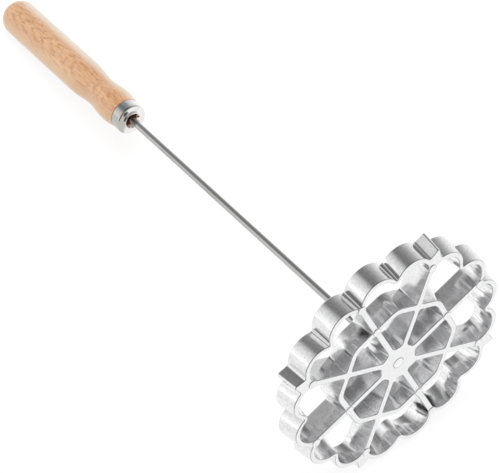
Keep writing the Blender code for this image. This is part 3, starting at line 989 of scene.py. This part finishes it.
finish, tree, shader = new_finish("cast_aluminium", {"Metallic": 1.0})
place = own_place(tree)
normal = node(tree, "TexCoord").outputs["Normal"]
facing = maths(tree, "ABSOLUTE", reach_along(tree, normal, OWN_TO_ROW[:, 2].tolist()))
flat = ramp(tree, facing, *FLAT)
edge = maths(tree, "MULTIPLY", ramp(tree, facing, *EDGE_FROM_WALL),
             ramp(tree, facing, *EDGE_FROM_FACE))
cell = node(tree, "Attribute", attribute_name="cell_side").outputs["Fac"]
clouds = noise(tree, place, *CLOUDS)
mottle = noise(tree, place, *MOTTLE)
grains = noise(tree, place, *GRAINS)
speckle = noise(tree, place, *SPECKLE)
side_colour = blend(tree, cell, SIDE_COLOUR, CELL_COLOUR)
dull_colour = blend(tree, cell, DULL_SIDE_COLOUR, DULL_CELL_COLOUR)
for pattern, dulled_by in ((clouds, DULLED_BY_CLOUDS), (mottle, DULLED_BY_MOTTLE),
                           (speckle, DULLED_BY_SPECKLE)):
    side_colour = blend(tree, ramp(tree, pattern, *dulled_by), side_colour, dull_colour)
face_colour = blend(tree, ramp(tree, speckle, *FACE_DULLED_BY_SPECKLE), FACE_COLOUR,
                    DULL_FACE_COLOUR)
metal = blend(tree, flat, side_colour, face_colour)
# Painted shade: the rounded edges are mixed towards dark grey
tree.links.new(blend(tree, edge, metal, PAINTED_EDGE_SHADE_COLOUR), shader.inputs["Base Color"])
rough_side = ramp(tree, cell, 0.0, 1.0, WALL_ROUGHNESS, CELL_ROUGHNESS)
rough_side = maths(tree, "ADD", rough_side, ramp(tree, mottle, *MOST_NOISE, *MOTTLE_ROUGHENS))
rough_face = ramp(tree, grains, *MOST_NOISE, *FACE_ROUGHNESS)
rough = node(tree, "Mix", {"Factor": flat, "A": rough_side, "B": rough_face},
             data_type="FLOAT")
tree.links.new(rough.outputs["Result"], shader.inputs["Roughness"])
spots = relief(tree, shader, mottle, MOTTLE_DEPTH)
specks = relief(tree, shader, speckle, SPECKLE_DEPTH, before=spots)
relief(tree, shader, clouds, CLOUD_DEPTH, before=specks)
mould.data.materials.append(finish)
print(finish.name, len(tree.nodes), "nodes")

# %% [markdown]
# Wire is pulled through a die, so its scratches all run along it and its shine is satin.
# Anisotropy in the shader could stretch that shine, but a relief of long fine scratches
# does so too, and shows them close up. One side is painted a little darker: painted shade
# where the wire mirrors the dark onlooker. The peened end was rubbed bright together with
# the casting's face.

# %% Drawn steel wire
STEEL_COLOUR = (0.47, 0.47, 0.465, 1.0)
STAIN_COLOUR = (0.39, 0.385, 0.37, 1.0)
# Painted shade on the side of the wire that mirrors the dark onlooker
WIRE_SHADE_COLOUR = (0.385, 0.385, 0.38, 1.0)
RUBBED_COLOUR = (0.88, 0.88, 0.88, 1.0)
WIRE_SHADE_SIDE = (-0.216, 0.976, 0.0)
WIRE_ROUGHNESS = (0.12, 0.24)
SCRATCH_DEPTH = 0.01 * MM

# Patterns: scale per metre in x, y and z, detail and roughness
SCRATCHES = ((6000.0, 6000.0, 60.0), 3.0, 0.7)
STAINS = ((300.0, 300.0, 60.0), 4.0)

# Where each change begins and is full, in the pattern's value or in metres
STAINED = (0.4, 0.8)
WIRE_SHADE_BEYOND = (1.0 * MM, 1.4 * MM)
WIRE_BEHIND_FACE = (0.5 * MM, 2.0 * MM)

finish, tree, shader = new_finish("drawn_steel", {"Metallic": 1.0})
place = own_place(tree)
scratches = noise(tree, place, *SCRATCHES)
stains = noise(tree, place, *STAINS)
steel = blend(tree, ramp(tree, stains, *STAINED), STEEL_COLOUR, STAIN_COLOUR)
# Painted shade: the wire is darker on the side that mirrors the dark onlooker
wire_shade = ramp(tree, reach_along(tree, place, WIRE_SHADE_SIDE), *WIRE_SHADE_BEYOND)
steel = blend(tree, wire_shade, steel, WIRE_SHADE_COLOUR)
from_face = node(tree, "SeparateXYZ", {0: place}).outputs["Z"]
wire = ramp(tree, from_face, *WIRE_BEHIND_FACE)
tree.links.new(blend(tree, wire, RUBBED_COLOUR, steel), shader.inputs["Base Color"])
rough = ramp(tree, scratches, *MOST_NOISE, *WIRE_ROUGHNESS)
tree.links.new(rough, shader.inputs["Roughness"])
relief(tree, shader, scratches, SCRATCH_DEPTH)
rod.data.materials.append(finish)
print(finish.name, len(tree.nodes), "nodes")

# %% [markdown]
# The ferrule is bright plated sheet. Pressing leaves faint rings round the axis, so its
# pattern changes with the place along the axis and the radius, and hardly round it. The
# plate is a little darker and browner on one side. Beside that, two blue-grey streaks are
# painted reflection of the dark onlooker, and the funnel of the hole is painted pale pink,
# as painted light from the lit wood inside the hole.

# %% Bright ferrule steel
PLATE_COLOUR = (0.86, 0.85, 0.85, 1.0)
DENT_COLOUR = (0.79, 0.78, 0.77, 1.0)
BROWN_SIDE_COLOUR = (0.50, 0.475, 0.445, 1.0)
# Painted reflection: the blue-grey of the dark onlooker mirrored in the plate
PAINTED_REFLECTION_COLOUR = (0.27, 0.29, 0.32, 1.0)
# Painted light: the pale pink of lit wood seen in the hole
PAINTED_WOOD_LIGHT_COLOUR = (0.92, 0.82, 0.77, 1.0)
DENT_DEPTH = 0.06 * MM
RING_DEPTH = 0.002 * MM
PLATE_ROUGHNESS = (0.07, 0.14)
BROWN_SIDE = (0.968, 0.250, 0.0)

# Patterns: scale per metre in x, y and z, and detail
RINGS = ((3000.0, 1.0, 3000.0), 2.0)
DENTS = ((250.0, 250.0, 250.0), 2.0)

# Where each change begins and is full, in the pattern's value or in metres
DENTED = (0.4, 0.7)
BROWN_BEYOND = (3.2 * MM, 5.2 * MM)

# Each painted reflection streak: the side it is on, how far out it begins and is full, and its
# share
PAINTED_REFLECTION_STREAKS = (((0.216, 0.976, 0.0), 7.9 * MM, 8.45 * MM, 0.6),
                  ((0.367, 0.930, 0.0), 8.3 * MM, 8.47 * MM, 0.4))

finish, tree, shader = new_finish("bright_plate", {"Metallic": 1.0})
place = own_place(tree)
parts = node(tree, "SeparateXYZ", {0: place}).outputs
radius = off_axis(tree, parts["X"], parts["Y"])
ringed = node(tree, "CombineXYZ", {"X": radius, "Z": parts["Z"]}).outputs[0]
rings = noise(tree, ringed, *RINGS)
dents = noise(tree, place, *DENTS)
plate = blend(tree, ramp(tree, dents, *DENTED), PLATE_COLOUR, DENT_COLOUR)
brown_share = ramp(tree, reach_along(tree, place, BROWN_SIDE), *BROWN_BEYOND)
plate = blend(tree, brown_share, plate, BROWN_SIDE_COLOUR)
# Painted reflection: blue-grey streaks where the plate mirrors the dark onlooker
for side, low, high, share in PAINTED_REFLECTION_STREAKS:
    painted_streak = ramp(tree, reach_along(tree, place, side), low, high, 0.0, share)
    plate = blend(tree, painted_streak, plate, PAINTED_REFLECTION_COLOUR)
# Painted light: the funnel is pale pink, standing for the lit wood in the hole
plate = blend(tree, ramp(tree, radius, LIP_RADIUS, FUNNEL_RADIUS), plate, PAINTED_WOOD_LIGHT_COLOUR)
tree.links.new(plate, shader.inputs["Base Color"])
rough = ramp(tree, rings, *MOST_NOISE, *PLATE_ROUGHNESS)
tree.links.new(rough, shader.inputs["Roughness"])
waves = relief(tree, shader, dents, DENT_DEPTH)
relief(tree, shader, rings, RING_DEPTH, before=waves)
ferrule.data.materials.append(finish)
print(finish.name, len(tree.nodes), "nodes")

# %% [markdown]
# The handle was cut lengthwise from a beech board, so the growth rings show as long arches
# down its middle and as straight lines at its flanks. Both flanks are painted paler, as
# painted light from the sides. A Wave texture draws rings too, but here each ring is a shell
# round the heart of the tree: the distance from the heart, folded into a zigzag, with its gap
# in millimetres. Its dark late wood shows in short strokes. Fibres and pores add finer dashes
# along the grain. A thin clear lacquer gives a low sheen.

# %% Lacquered beech
WOOD_COLOUR = (0.80, 0.49, 0.27, 1.0)
DEEP_WOOD_COLOUR = (0.70, 0.38, 0.20, 1.0)
LATE_WOOD_COLOUR = (0.54, 0.235, 0.09, 1.0)
FIBRE_COLOUR = (0.55, 0.27, 0.12, 1.0)
PORE_COLOUR = (0.46, 0.20, 0.08, 1.0)
WOOD_ROUGHNESS = (0.45, 0.6)
FIBRE_DEPTH = 0.04 * MM
PORE_DEPTH = 0.02 * MM
TREE_HEART = (-34.0 * MM, -61.0 * MM, 0.0)
RING_SLOPE = (-0.055, -0.10)
RING_GAP = 1.1 * MM
RING_WANDER = 3.2 * MM

# Patterns: scale per metre in x, y and z, detail, roughness and distortion
WANDER = ((260.0, 260.0, 60.0), 5.0, 0.65)
BANDS = ((180.0, 120.0, 22.0), 3.0, 0.5, 0.4)
FIBRES = ((1100.0, 1100.0, 140.0), 4.0, 0.7, 0.5)
PORES = ((1200.0, 1200.0, 330.0), 1.0)
STROKES = ((700.0, 700.0, 260.0), 2.0, 0.6)

# Where each colour begins and is full, in the pattern's value or in metres, and its share
LATE_WOOD = (0.25 * RING_GAP, 0.48 * RING_GAP)
STROKE_SHARES = (0.38, 0.60, 0.28, 0.95)
DEEP_WOOD = (0.35, 0.65)
FIBRE_SHARES = (0.45, 0.68, 0.0, 0.6)
PORE_SHARES = (0.58, 0.70, 0.0, 0.4)
PAINTED_LIGHT_FLANK_SHARES = (5.8 * MM, GRIP_RADIUS, 0.0, 0.65)

# The two flanks, painted paler as painted light from the sides: side and colour
PAINTED_LIGHT_FLANKS = (((0.990, -0.139, 0.0), (0.84, 0.55, 0.31, 1.0)),
          ((-0.799, 0.602, 0.0), (0.97, 0.85, 0.71, 1.0)))

finish, tree, shader = new_finish("lacquered_beech", {"Coat Weight": 1.0,
                                                      "Coat Roughness": 0.30,
                                                      "Sheen Weight": 0.3,
                                                      "Sheen Roughness": 0.4})
place = own_place(tree)
from_heart = node(tree, "VectorMath", {0: place, 1: TREE_HEART}, operation="SUBTRACT")
apart = node(tree, "SeparateXYZ", {0: from_heart.outputs[0]}).outputs
lean_x = maths(tree, "MULTIPLY_ADD", apart["Z"], RING_SLOPE[0], apart["X"])
lean_y = maths(tree, "MULTIPLY_ADD", apart["Z"], RING_SLOPE[1], apart["Y"])
wander = noise(tree, place, *WANDER)
age = maths(tree, "MULTIPLY_ADD", wander, RING_WANDER, off_axis(tree, lean_x, lean_y))
ring = maths(tree, "PINGPONG", age, RING_GAP / 2.0)
late_wood = ramp(tree, ring, *LATE_WOOD)
bands = noise(tree, place, *BANDS)
fibres = noise(tree, place, *FIBRES)
pores = noise(tree, place, *PORES)
strokes = noise(tree, place, *STROKES)
late_wood = maths(tree, "MULTIPLY", late_wood, ramp(tree, strokes, *STROKE_SHARES))
wood = blend(tree, ramp(tree, bands, *DEEP_WOOD), WOOD_COLOUR, DEEP_WOOD_COLOUR)
wood = blend(tree, late_wood, wood, LATE_WOOD_COLOUR)
wood = blend(tree, ramp(tree, fibres, *FIBRE_SHARES), wood, FIBRE_COLOUR)
wood = blend(tree, ramp(tree, pores, *PORE_SHARES), wood, PORE_COLOUR)
# Painted light: both flanks are mixed towards paler colours at their sides
for side, painted_light_colour in PAINTED_LIGHT_FLANKS:
    painted_light_share = ramp(tree, reach_along(tree, place, side), *PAINTED_LIGHT_FLANK_SHARES)
    wood = blend(tree, painted_light_share, wood, painted_light_colour)
tree.links.new(wood, shader.inputs["Base Color"])
rough = ramp(tree, fibres, *MOST_NOISE, *WOOD_ROUGHNESS)
tree.links.new(rough, shader.inputs["Roughness"])
raised = relief(tree, shader, fibres, FIBRE_DEPTH)
relief(tree, shader, pores, PORE_DEPTH, before=raised)
handle.data.materials.append(finish)
print(finish.name, len(tree.nodes), "nodes")

# %% [markdown]
# The colours are shown as they are, without a film look. The dressed iron keeps the size
# of the CAD model.

# %% Finish
bpy.context.scene.view_settings.view_transform = "Standard"
bpy.context.view_layer.update()
